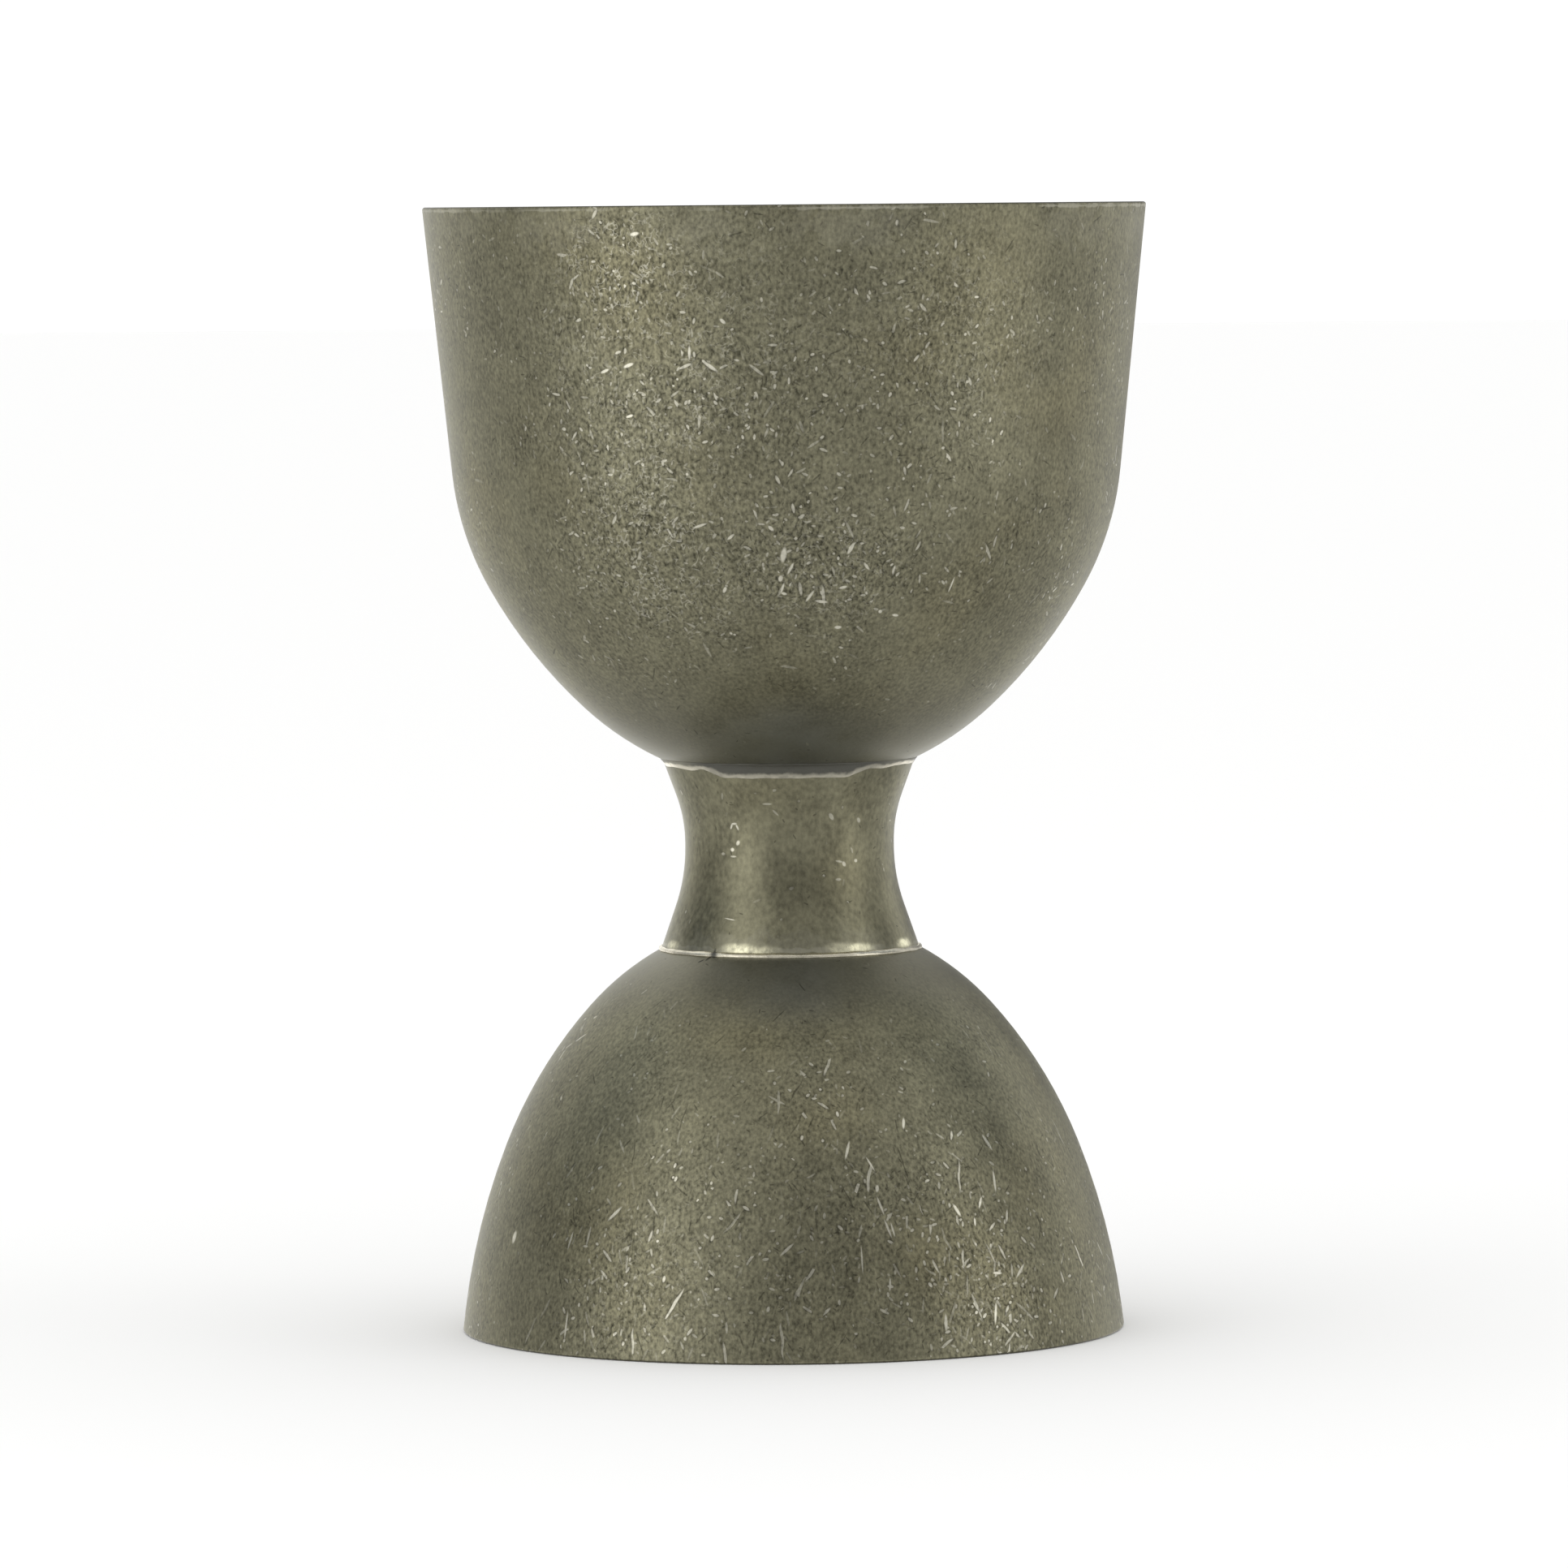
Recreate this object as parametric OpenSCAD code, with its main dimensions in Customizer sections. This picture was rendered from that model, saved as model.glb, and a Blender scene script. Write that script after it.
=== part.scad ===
// Bell jigger, a bar measure with a cup at each end.
// Two drawn steel cups sit back to back on the ends of a waisted, hollow neck, and a weld bead
// closes the seam at each end of the neck. Everything is round about Z. The part stands on the
// small cup's rim at Z = 0, and the large cup opens upwards.

/* [Large cup] */
// Outside diameter at the large cup's rim
large_rim_d = 52.9; // [48:0.1:58]
// Lean of the large cup's straight side from upright, in degrees
large_side_angle = 5.9; // [4:0.1:8]
// Length of the large cup's straight side, along its slope
large_side_length = 19.6; // [15:0.1:24]
// Outside radius of the bend under the large cup's straight side
large_bend_r = 21.9; // [18:0.1:26]
// Slope from upright where the large cup's bend runs into its flank, in degrees
large_bend_end_angle = 29.1; // [25:0.1:34]
// Outside radius of the large cup's flatter flank
large_flank_r = 36; // [31:0.1:42]
// Slope from upright where the large cup's flank runs into its round bottom, in degrees
large_flank_end_angle = 47; // [42:0.1:52]
// Wall of the large cup
large_wall = 1; // [0.7:0.1:1.6]

/* [Small cup] */
// Outside diameter at the small cup's rim
small_rim_d = 48.6; // [44:0.1:54]
// Lean of the small cup's straight side from upright, in degrees
small_side_angle = 7.3; // [5:0.1:10]
// Length of the small cup's straight side, along its slope
small_side_length = 1.5; // [1:0.1:6]
// Outside radius of the bend under the small cup's straight side
small_bend_r = 50.8; // [45:0.1:56]
// Slope from upright where the small cup's bend runs into its flank, in degrees
small_bend_end_angle = 21.5; // [17:0.1:26]
// Outside radius of the small cup's flank
small_flank_r = 33.8; // [30:0.1:40]
// Slope from upright where the small cup's flank runs into its round bottom, in degrees
small_flank_end_angle = 41.8; // [37:0.1:47]
// Wall of the small cup
small_wall = 1; // [0.7:0.1:1.6]

/* [Neck] */
// Outside diameter of the neck at its waist
waist_d = 15.3; // [13:0.1:18]
// Height of the plain band at the waist
waist_band_h = 0.3; // [0.1:0.1:5]
// Radius of the neck's hollow curve above the waist
head_curve_r = 10.4; // [8:0.1:14]
// Flare of the neck's head from upright, in degrees
head_flare_angle = 20.2; // [16:0.1:28]
// Length of the straight flare at the neck's head, along its slope
head_flare_length = 2.7; // [1.5:0.1:4]
// Radius of the neck's hollow curve below the waist
foot_curve_r = 13.1; // [10:0.1:17]
// Flare of the neck's foot from upright, in degrees
foot_flare_angle = 19.2; // [15:0.1:26]
// Length of the straight flare at the neck's foot, along its slope
foot_flare_length = 3.3; // [2:0.1:5]
// Wall of the neck
neck_wall = 1; // [0.7:0.1:1.5]

/* [Welds] */
// Radius of the hollow face of the bead above the neck
upper_weld_r = 1; // [0.5:0.1:2]
// Radius of the hollow face of the bead below the neck
lower_weld_r = 1.2; // [0.5:0.1:2]
// Thickness to which both beads thin out at their edges
weld_edge = 0.03; // [0.02:0.01:0.08]
// Hairline between welded pieces
seat_gap = 0.02; // [0.01:0.01:0.1]

/* [Rims and fill lines] */
// Rounding of the edges of both rims
rim_edge_r = 0.2; // [0.05:0.05:0.3]
// Width of each fill line inside the cups
fill_line_w = 0.3; // [0.2:0.05:0.8]
// Depth of each fill line in the wall
fill_line_depth = 0.12; // [0.05:0.01:0.3]

/* [Hidden] */

// Share of a cup's brimful measure at each of its fill lines
large_line_shares = [0.5, 0.75];
small_line_shares = [0.5, 0.75];

// Degrees turned by each step along a curve, and steps in each rounded edge and weld face
curve_step = 2;
edge_steps = 6;
weld_steps = 8;
// Layers in which a cup's hollow is measured, and halvings in the search for a fill line
measure_layers = 60;
search_halvings = 24;
// Reach of a cutter past the face that it cuts
overrun = fill_line_depth;
$fn = 128;

steel = "#7b7764";
polished_steel = "#98927c";

// A cup is a list of its sizes from the rim down. Its own frame has the rim's plane at height 0,
// the mouth facing up and the bowl below. A slope is an angle from upright: a wall that slopes by
// it faces outward(slope), and a flare rises along upward(slope).
large = [large_rim_d / 2, large_side_angle, large_side_length, large_bend_r, large_bend_end_angle,
         large_flank_r, large_flank_end_angle, large_wall];
small = [small_rim_d / 2, small_side_angle, small_side_length, small_bend_r, small_bend_end_angle,
         small_flank_r, small_flank_end_angle, small_wall];

function rim_r(cup) = cup[0];
function side_angle(cup) = cup[1];
function side_length(cup) = cup[2];
function bend_r(cup) = cup[3];
function bend_end(cup) = cup[4];
function flank_r(cup) = cup[5];
function flank_end(cup) = cup[6];
function wall(cup) = cup[7];

function outward(slope) = [cos(slope), -sin(slope)];
function upward(slope) = [sin(slope), cos(slope)];

// Points of an arc about a centre, from one direction to another
function arc(centre, r, from, to, steps = 0) =
    let (count = steps > 0 ? steps : ceil(abs(to - from) / curve_step))
    [for (i = [0 : count]) let (a = from + (to - from) * i / count) centre + r * [cos(a), sin(a)]];

// A list without its first point, for a curve that starts where the one before it ends
function rest(points) = [for (i = [1 : len(points) - 1]) points[i]];
function last(points) = points[len(points) - 1];
function reversed(points) = [for (i = [len(points) - 1 : -1 : 0]) points[i]];

// Direction in which a point is seen from a centre
function direction(point, centre) = atan2(point.y - centre.y, point.x - centre.x);

// Distance along a line, from a point outside a circle, to the place where the line enters it
function reach(point, along, centre, r) =
    let (offset = point - centre, half = offset * along)
    -half - sqrt(half * half - offset * offset + r * r);

// Outside of a cup: a straight side, a bend, a flank and a round bottom, each tangent to the next

function side_foot(cup) = [rim_r(cup), 0] - side_length(cup) * upward(side_angle(cup));
function bend_centre(cup) = side_foot(cup) - bend_r(cup) * outward(side_angle(cup));
function flank_centre(cup) =
    bend_centre(cup) + (bend_r(cup) - flank_r(cup)) * outward(bend_end(cup));
function flank_foot(cup) = flank_centre(cup) + flank_r(cup) * outward(flank_end(cup));
function ball_r(cup) = flank_foot(cup).x / cos(flank_end(cup));
function ball_centre(cup) = [0, flank_foot(cup).y + ball_r(cup) * sin(flank_end(cup))];

// The curved stretches of a cup from the top down: centre, outside radius, first and last slope
function stretches(cup) = [
    [bend_centre(cup), bend_r(cup), side_angle(cup), bend_end(cup)],
    [flank_centre(cup), flank_r(cup), bend_end(cup), flank_end(cup)],
    [ball_centre(cup), ball_r(cup), flank_end(cup), 90],
];

// Points down a cup's side from the foot of its straight side to the axis, on a surface that lies
// inside the outer one by an inset
function side_points(cup, inset) = concat(
    [side_foot(cup) - inset * outward(side_angle(cup))],
    [for (s = stretches(cup)) each rest(arc(s[0], s[1] - inset, -s[2], -s[3]))]
);

// Inside of a cup: the outside moved in by the wall

function mouth_r(cup) = rim_r(cup) - wall(cup) / cos(side_angle(cup));
function floor_level(cup) = ball_centre(cup).y - ball_r(cup) + wall(cup);
function stretches_above(cup, level) = [
    for (s = stretches(cup)) if (level < s[0].y - (s[1] - wall(cup)) * sin(s[2])) s
];
function inside_slope(cup, level) =
    let (above = stretches_above(cup, level), s = last(above))
    len(above) == 0 ? side_angle(cup) : asin((s[0].y - level) / (s[1] - wall(cup)));
function inside_r(cup, level) =
    let (above = stretches_above(cup, level), s = last(above))
    len(above) == 0
        ? mouth_r(cup) + level * tan(side_angle(cup))
        : s[0].x + (s[1] - wall(cup)) * cos(inside_slope(cup, level));

// What a cup holds when it is filled to a level
function held(cup, level) =
    let (
        layer = (level - floor_level(cup)) / measure_layers,
        radii = [for (i = [0 : measure_layers - 1]) inside_r(cup, floor_level(cup) + (i + 1 / 2) * layer)]
    )
    PI * layer * (radii * radii);

// The level between two others at which a cup holds an amount
function level_for(cup, amount, low, high, halvings = search_halvings) =
    let (middle = (low + high) / 2)
    halvings == 0 ? middle
        : held(cup, middle) < amount ? level_for(cup, amount, middle, high, halvings - 1)
        : level_for(cup, amount, low, middle, halvings - 1);

function line_level(cup, share) = level_for(cup, share * held(cup, 0), floor_level(cup), 0);

// Radius at each end of the neck, and radius of the ball on which that end is seated
waist_r = waist_d / 2;
foot_r = waist_r + foot_curve_r * (1 - cos(foot_flare_angle)) + foot_flare_length * sin(foot_flare_angle);
head_r = waist_r + head_curve_r * (1 - cos(head_flare_angle)) + head_flare_length * sin(head_flare_angle);
small_seat_r = ball_r(small) + seat_gap;
large_seat_r = ball_r(large) + seat_gap;

// Places along Z, each worked out from the piece below it
small_ball_z = -ball_centre(small).y;
foot_z = small_ball_z + sqrt(pow(small_seat_r, 2) - pow(foot_r, 2));
waist_z = foot_z + foot_flare_length * cos(foot_flare_angle) + foot_curve_r * sin(foot_flare_angle);
band_top_z = waist_z + waist_band_h;
head_z = band_top_z + head_curve_r * sin(head_flare_angle) + head_flare_length * cos(head_flare_angle);
large_ball_z = head_z + sqrt(pow(large_seat_r, 2) - pow(head_r, 2));
large_rim_z = large_ball_z - ball_centre(large).y;

echo(height = large_rim_z, large_cup_holds = held(large, 0), small_cup_holds = held(small, 0));

// A cup cut through its axis: over the rim's outer edge, down the outside, up the inside and over
// the rim's inner edge
module cup_section(cup) {
    lean = side_angle(cup);
    outer_edge = [rim_r(cup) - rim_edge_r * (1 + sin(lean)) / cos(lean), -rim_edge_r];
    inner_edge = [mouth_r(cup) + rim_edge_r * (1 - sin(lean)) / cos(lean), -rim_edge_r];
    polygon(concat(
        arc(outer_edge, rim_edge_r, 90, -lean, edge_steps),
        side_points(cup, 0),
        reversed(side_points(cup, wall(cup))),
        arc(inner_edge, rim_edge_r, 180 - lean, 90, edge_steps)
    ));
}

// The cutter of one fill line, square to the inside of the wall
module fill_line_section(cup, share) {
    level = line_level(cup, share);
    translate([inside_r(cup, level), level])
        rotate(-inside_slope(cup, level))
            translate([-overrun, -fill_line_w / 2])
                square([overrun + fill_line_depth, fill_line_w]);
}

// A drawn cup in its own frame
module drawn_cup(cup, line_shares) {
    rotate_extrude()
        difference() {
            cup_section(cup);
            for (share = line_shares)
                fill_line_section(cup, share);
        }
}

module large_cup() {
    color(steel)
        translate([0, 0, large_rim_z])
            drawn_cup(large, large_line_shares);
}

module small_cup() {
    color(steel)
        mirror([0, 0, 1])
            drawn_cup(small, small_line_shares);
}

// Points round one end of the neck's wall, from the waist up the outside to the flare's end, across
// the end face, which is hollowed to the ball, and down the inside
function neck_end_points(curve_r, flare_angle, end_r, end_height, ball_height, seat_r) =
    let (
        curve_centre = [waist_r + curve_r, 0],
        ball = [0, ball_height],
        outer_end = [end_r, end_height],
        inner_curve = arc(curve_centre, curve_r + neck_wall, 180 - flare_angle, 180),
        up = upward(flare_angle),
        inner_end = inner_curve[0] + reach(inner_curve[0], up, ball, seat_r) * up
    )
    concat(
        arc(curve_centre, curve_r, 180, 180 - flare_angle),
        arc(ball, seat_r, direction(outer_end, ball), direction(inner_end, ball), weld_steps),
        inner_curve
    );

// The waisted tube between the cups
module neck() {
    head = neck_end_points(head_curve_r, head_flare_angle, head_r, head_z - band_top_z,
                           large_ball_z - band_top_z, large_seat_r);
    foot = neck_end_points(foot_curve_r, foot_flare_angle, foot_r, waist_z - foot_z,
                           waist_z - small_ball_z, small_seat_r);
    color(steel)
        rotate_extrude()
            polygon(concat(
                [for (p = head) [p.x, band_top_z + p.y]],
                [for (p = reversed(foot)) [p.x, waist_z - p.y]]
            ));
}

// A bead cut through its axis, in the corner between the outside of a flare and the ball above it.
// Its hollow face is an arc about a point that is equally far from both. Heights run from the
// flare's end.
module weld_section(flare_angle, end_r, ball_height, seat_r, weld_r) {
    ball = [0, ball_height];
    out = outward(flare_angle);
    up = upward(flare_angle);
    flare_end = [end_r, 0] + seat_gap * out;
    corner = flare_end + reach(flare_end, up, ball, seat_r) * up;
    arc_height = weld_r + weld_edge;
    arc_start = flare_end + arc_height * out;
    arc_centre = arc_start + reach(arc_start, up, ball, seat_r + arc_height) * up;
    polygon(concat(
        arc(ball, seat_r, direction(corner, ball), direction(arc_centre, ball), weld_steps),
        arc(arc_centre, weld_r, direction(ball, arc_centre), 180 - flare_angle, weld_steps),
        [arc_centre - arc_height * out]
    ));
}

// The bead between the neck's head and the large cup
module upper_weld() {
    color(polished_steel)
        translate([0, 0, head_z])
            rotate_extrude()
                weld_section(head_flare_angle, head_r, large_ball_z - head_z, large_seat_r, upper_weld_r);
}

// The bead between the neck's foot and the small cup
module lower_weld() {
    color(polished_steel)
        translate([0, 0, foot_z])
            mirror([0, 0, 1])
                rotate_extrude()
                    weld_section(foot_flare_angle, foot_r, foot_z - small_ball_z, small_seat_r, lower_weld_r);
}

large_cup();
small_cup();
neck();
upper_weld();
lower_weld();
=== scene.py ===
import math
from dataclasses import dataclass

import bmesh
import bpy
from mathutils import Matrix, Vector, noise


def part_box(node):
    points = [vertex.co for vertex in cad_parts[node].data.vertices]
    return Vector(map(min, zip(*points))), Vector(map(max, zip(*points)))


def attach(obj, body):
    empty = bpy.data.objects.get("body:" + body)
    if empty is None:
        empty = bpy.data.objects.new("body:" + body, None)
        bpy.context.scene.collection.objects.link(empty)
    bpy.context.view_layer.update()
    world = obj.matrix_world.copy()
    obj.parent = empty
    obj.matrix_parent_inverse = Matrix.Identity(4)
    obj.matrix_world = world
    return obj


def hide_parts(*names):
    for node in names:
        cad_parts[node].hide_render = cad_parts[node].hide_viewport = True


# Bell jigger: two drawn steel cups, back to back on a waisted neck, tumbled and darkened all over.
# Lengths are in millimetres, as on a maker's drawing, and each finished mesh is brought to metres.
# The jigger stands on the small cup's rim at height 0, and its front faces -Y.

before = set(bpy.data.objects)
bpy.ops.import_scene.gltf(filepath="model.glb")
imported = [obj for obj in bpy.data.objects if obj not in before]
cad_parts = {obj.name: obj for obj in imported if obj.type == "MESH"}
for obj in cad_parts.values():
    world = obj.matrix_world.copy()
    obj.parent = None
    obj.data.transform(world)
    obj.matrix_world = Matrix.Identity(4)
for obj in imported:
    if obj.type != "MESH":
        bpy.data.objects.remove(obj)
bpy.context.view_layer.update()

# Large cup: the 60 ml measure, drawn from a disc of steel sheet, with a straight flaring side and a
# round bowl. Its rim is a plain cut edge, and two fill lines are turned inside it. It is welded to
# the head of the neck, and tumbling left it mottled, pitted and nicked.


@dataclass
class Cup:
    """Outside sizes of a cup from the rim down. A slope is in degrees from upright."""

    rim_d: float
    side_slope: float
    side_length: float
    bend_r: float
    bend_slope: float
    flank_r: float
    flank_slope: float
    wall: float

    def ball_r(self):
        """Radius of the round bottom, which starts where the flank ends"""
        side, bend, flank = (
            math.radians(slope) for slope in (self.side_slope, self.bend_slope, self.flank_slope)
        )
        bend_centre = self.rim_d / 2 - self.side_length * math.sin(side) - self.bend_r * math.cos(side)
        flank_centre = bend_centre + (self.bend_r - self.flank_r) * math.cos(bend)
        return (flank_centre + self.flank_r * math.cos(flank)) / math.cos(flank)

    def outer_r(self, depth):
        """Outside radius at a depth below the rim's plane"""
        side = math.radians(self.side_slope)
        down_side = Vector((-math.sin(side), math.cos(side)))
        start = Vector((self.rim_d / 2, 0)) + self.side_length * down_side
        if depth <= start.y:
            return self.rim_d / 2 - depth * math.tan(side)
        curves = (
            (self.bend_r, self.side_slope, self.bend_slope),
            (self.flank_r, self.bend_slope, self.flank_slope),
            (self.ball_r(), self.flank_slope, 90),
        )
        for radius, first, last in curves:
            first, last = math.radians(first), math.radians(last)
            centre = start - radius * Vector((math.cos(first), math.sin(first)))
            start = centre + radius * Vector((math.cos(last), math.sin(last)))
            if depth <= start.y:
                break
        return centre.x + math.sqrt(max(0, radius ** 2 - (depth - centre.y) ** 2))


class Pen:
    """Draws the outline of a turned piece with one moving point. A heading is in degrees, from +X
    towards +Z."""

    def __init__(self, x, z, heading):
        self.mesh = bmesh.new()
        self.tip = bmesh.ops.create_vert(self.mesh, co=(x, 0, z))["vert"][0]
        self.heading = heading

    def ahead(self, length, turned=0):
        angle = math.radians(self.heading + turned)
        return length * Vector((math.cos(angle), 0, math.sin(angle)))

    def turn(self, angle):
        self.heading += angle

    def line(self, length, step=1.0):
        count = max(1, math.ceil(length / step))
        for _ in range(count):
            self.tip = bmesh.ops.extrude_vert_indiv(self.mesh, verts=[self.tip])["verts"][0]
            bmesh.ops.translate(self.mesh, verts=[self.tip], vec=self.ahead(length / count))

    def swing(self, centre, angle, step=2.5):
        """An arc about a centre, which leaves the heading alone"""
        arc = bmesh.ops.spin(
            self.mesh, geom=[self.tip], cent=centre, axis=(0, -1, 0), angle=math.radians(angle),
            steps=max(1, math.ceil(abs(angle) / step)),
        )
        self.tip = arc["geom_last"][0]

    def curve(self, radius, angle, step=2.5):
        """An arc straight on from the heading"""
        self.swing(self.tip.co + self.ahead(radius, math.copysign(90, angle)), angle, step)
        self.turn(angle)


GROOVE_W = 0.3
GROOVE_DEPTH = 0.12
RIM_EDGE_R = 0.2
RIM_EDGE_STEP = 15
LATHE_STEPS = 160


def groove(pen, bend_r=0):
    """A square groove to the right of the pen, in a straight wall or in one that bends right"""
    pen.turn(-90)
    pen.line(GROOVE_DEPTH)
    pen.turn(90)
    if bend_r:
        pen.curve(bend_r + GROOVE_DEPTH, -math.degrees(GROOVE_W / bend_r))
    else:
        pen.line(GROOVE_W)
    pen.turn(90)
    pen.line(GROOVE_DEPTH)
    pen.turn(-90)


def cup_outline(cup, side_lines=(), bend_lines=()):
    """A cup's section, mouth up, with its round bottom on height 0: up the outside, over the rim and
    down the inside. Side lines are lengths down the straight side from the mouth, and bend lines are
    angles into the bend below it."""
    corner_turn = 90 + cup.side_slope
    outer_corner = RIM_EDGE_R * math.tan(math.radians(corner_turn / 2))
    inner_corner = RIM_EDGE_R * math.tan(math.radians((180 - corner_turn) / 2))
    rim_w = cup.wall / math.cos(math.radians(cup.side_slope))
    pen = Pen(0, 0, 0)
    pen.curve(cup.ball_r(), 90 - cup.flank_slope)
    pen.curve(cup.flank_r, cup.flank_slope - cup.bend_slope)
    pen.curve(cup.bend_r, cup.bend_slope - cup.side_slope)
    pen.line(cup.side_length - outer_corner)
    pen.curve(RIM_EDGE_R, corner_turn, step=RIM_EDGE_STEP)
    pen.line(rim_w - outer_corner - inner_corner)
    pen.curve(RIM_EDGE_R, 180 - corner_turn, step=RIM_EDGE_STEP)
    drawn = inner_corner
    for level in side_lines:
        pen.line(level - drawn)
        groove(pen)
        drawn = level + GROOVE_W
    pen.line(cup.side_length - cup.wall * math.tan(math.radians(cup.side_slope)) - drawn)
    inner_bend_r = cup.bend_r - cup.wall
    drawn = 0
    for angle in bend_lines:
        pen.curve(inner_bend_r, drawn - angle)
        groove(pen, inner_bend_r)
        drawn = angle + math.degrees(GROOVE_W / inner_bend_r)
    pen.curve(inner_bend_r, cup.side_slope - cup.bend_slope + drawn)
    pen.curve(cup.flank_r - cup.wall, cup.bend_slope - cup.flank_slope)
    pen.curve(cup.ball_r() - cup.wall, cup.flank_slope - 90)
    return pen.mesh


SHARP_ANGLE = math.radians(40)
MERGE_REACH = 0.002


def turned_piece(name, outline, material):
    """Spins an outline about Z into a closed shell, and makes it a piece in metres"""
    bmesh.ops.spin(
        outline, geom=outline.verts[:] + outline.edges[:], cent=(0, 0, 0), axis=(0, 0, 1),
        angle=math.tau, steps=LATHE_STEPS, use_merge=True,
    )
    bmesh.ops.remove_doubles(outline, verts=outline.verts, dist=MERGE_REACH)
    bmesh.ops.recalc_face_normals(outline, faces=outline.faces)
    for face in outline.faces:
        face.smooth = True
    for edge in outline.edges:
        edge.smooth = edge.calc_face_angle(0) < SHARP_ANGLE
    bmesh.ops.scale(outline, vec=(0.001, 0.001, 0.001), verts=outline.verts)
    mesh = bpy.data.meshes.new(name)
    outline.to_mesh(mesh)
    outline.free()
    mesh.materials.append(material)
    piece = bpy.data.objects.new(name, mesh)
    bpy.context.scene.collection.objects.link(piece)
    shading = piece.modifiers.new("even shading across small edges", "WEIGHTED_NORMAL")
    shading.keep_sharp = True
    return piece


class Wire:
    """One output of a shader node. Sums on a wire add Math nodes to its node tree."""

    def __init__(self, socket):
        self.socket = socket

    def node(self, kind, inputs=(), output=0, **settings):
        """A new node in the same tree: its settings, then what its sockets hold or are fed by"""
        tree = self.socket.id_data
        made = tree.nodes.new("ShaderNode" + kind)
        for name, setting in settings.items():
            setattr(made, name, setting)
        for key, value in dict(inputs).items():
            if isinstance(value, Wire):
                tree.links.new(value.socket, made.inputs[key])
            else:
                made.inputs[key].default_value = value
        return Wire(made.outputs[output])

    def math(self, operation, *values):
        return self.node("Math", enumerate(values), operation=operation)

    def __add__(self, other):
        return self.math("ADD", self, other)

    def __radd__(self, other):
        return self.math("ADD", other, self)

    def __sub__(self, other):
        return self.math("SUBTRACT", self, other)

    def __rsub__(self, other):
        return self.math("SUBTRACT", other, self)

    def __mul__(self, other):
        return self.math("MULTIPLY", self, other)

    def __rmul__(self, other):
        return self.math("MULTIPLY", other, self)

    def __truediv__(self, other):
        return self.math("DIVIDE", self, other)

    def vector(self, operation, *others, output="Vector"):
        return self.node("VectorMath", enumerate((self, *others)), output, operation=operation)

    def step(self, low, high):
        """Rises smoothly from 0 to 1 as this goes from low to high"""
        return self.node(
            "MapRange", {"Value": self, "From Min": low, "From Max": high},
            interpolation_type="SMOOTHSTEP",
        )

    def clamp(self):
        return self.node("Clamp", {"Value": self})

    def noise(self, size, detail=2.0, output="Fac", stretch=(1, 1, 1)):
        """Cloudy noise whose patches are about this size"""
        scaled = self.vector("DIVIDE", [size * share for share in stretch])
        return scaled.node("TexNoise", {"Vector": scaled, "Scale": 1.0, "Detail": detail}, output)

    def mix(self, first, second):
        """From the first colour to the second as this goes from 0 to 1"""
        return self.node("Mix", {0: self, 6: first, 7: second}, 2, data_type="RGBA")


@dataclass
class Nicks:
    """A layer of short bright strokes, at most one in each patch of the surface. Lean is in degrees
    from level, and spread is how far it varies."""

    patch: float
    length: float
    width: float
    bend: float
    lean: float
    spread: float
    share: float


WANDER_SIZE = 1.1
STROKE_EDGE = (1.3, 0.4)
STROKE_SHADOW = (5, 1)


def nick_layer(place, around, upward, nicks, worked):
    """The bright strokes of a layer, and the dark strokes and the painted shadows beside them. More of
    the patches have a stroke where the surface is more worked."""
    wander = place.noise(WANDER_SIZE, 0, "Color").vector("SUBTRACT", (0.5, 0.5, 0.5))
    bent = place.vector("ADD", wander.vector("MULTIPLY", (nicks.bend,) * 3))
    patch = bent.node("TexVoronoi", {"Vector": bent, "Scale": 1 / nicks.patch}, "Position")
    chance = Wire(patch.socket.node.outputs["Color"])
    chances = chance.node("SeparateColor", {"Color": chance})
    turn_chance, on_chance, size_chance = (
        Wire(chances.socket.node.outputs[name]) for name in ("Red", "Green", "Blue")
    )
    offset = bent.vector("SUBTRACT", patch)
    across = offset.vector("DOT_PRODUCT", around, output="Value")
    up = offset.vector("DOT_PRODUCT", upward, output="Value")
    share = worked * nicks.share + 0.01
    rank = 1 - on_chance / share
    rank = rank.math("MAXIMUM", rank, 0)
    angle = turn_chance * math.radians(2 * nicks.spread) + math.radians(nicks.lean - nicks.spread)
    cosine = angle.math("COSINE", angle)
    sine = angle.math("SINE", angle)
    along_stroke = (across * cosine + up * sine) / (size_chance * (nicks.length / 2) + nicks.length / 4)
    beside_stroke = (up * cosine - across * sine) / ((rank * 0.35 + 0.4) * nicks.width)
    reach = along_stroke * along_stroke + beside_stroke * beside_stroke
    stroke = reach.step(*STROKE_EDGE)
    dark_rank = 1 - (1 - on_chance) / share
    dark = stroke * dark_rank.step(0, 0.6) * 1.6
    strength = rank * (rank * 0.7 + 0.3) * worked.step(-0.2, 0.6)
    # A dark halo round each bright stroke is a painted shadow of its relief.
    return stroke * strength, dark.math("MAXIMUM", dark, reach.step(*STROKE_SHADOW) * strength)


@dataclass
class Mark:
    """One listed stroke: degrees round from the front, height, degrees from level, sizes, and how bright
    it is"""

    azimuth: float
    height: float
    lean: float
    length: float
    width: float
    shine: float = 1.0


MARK_DEPTH = 0.8


def mark_mask(place, mark, radius):
    """1 on a mark that lies on a wall of this radius, and 0 off it"""
    facing_front = Matrix.Rotation(math.radians(90), 3, "X")
    turned = Matrix.Rotation(math.radians(mark.azimuth), 3, "Z") @ facing_front
    turned = turned @ Matrix.Rotation(math.radians(mark.lean), 3, "Z")
    from_mark = place.node(
        "Mapping",
        {
            "Vector": place,
            "Location": on_wall(radius, mark.azimuth, mark.height),
            "Rotation": turned.to_euler(),
            "Scale": (mark.length / 2, mark.width / 2, MARK_DEPTH),
        },
        vector_type="TEXTURE",
    )
    return from_mark.vector("LENGTH", output="Value").step(1.25, 0.6)


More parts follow.
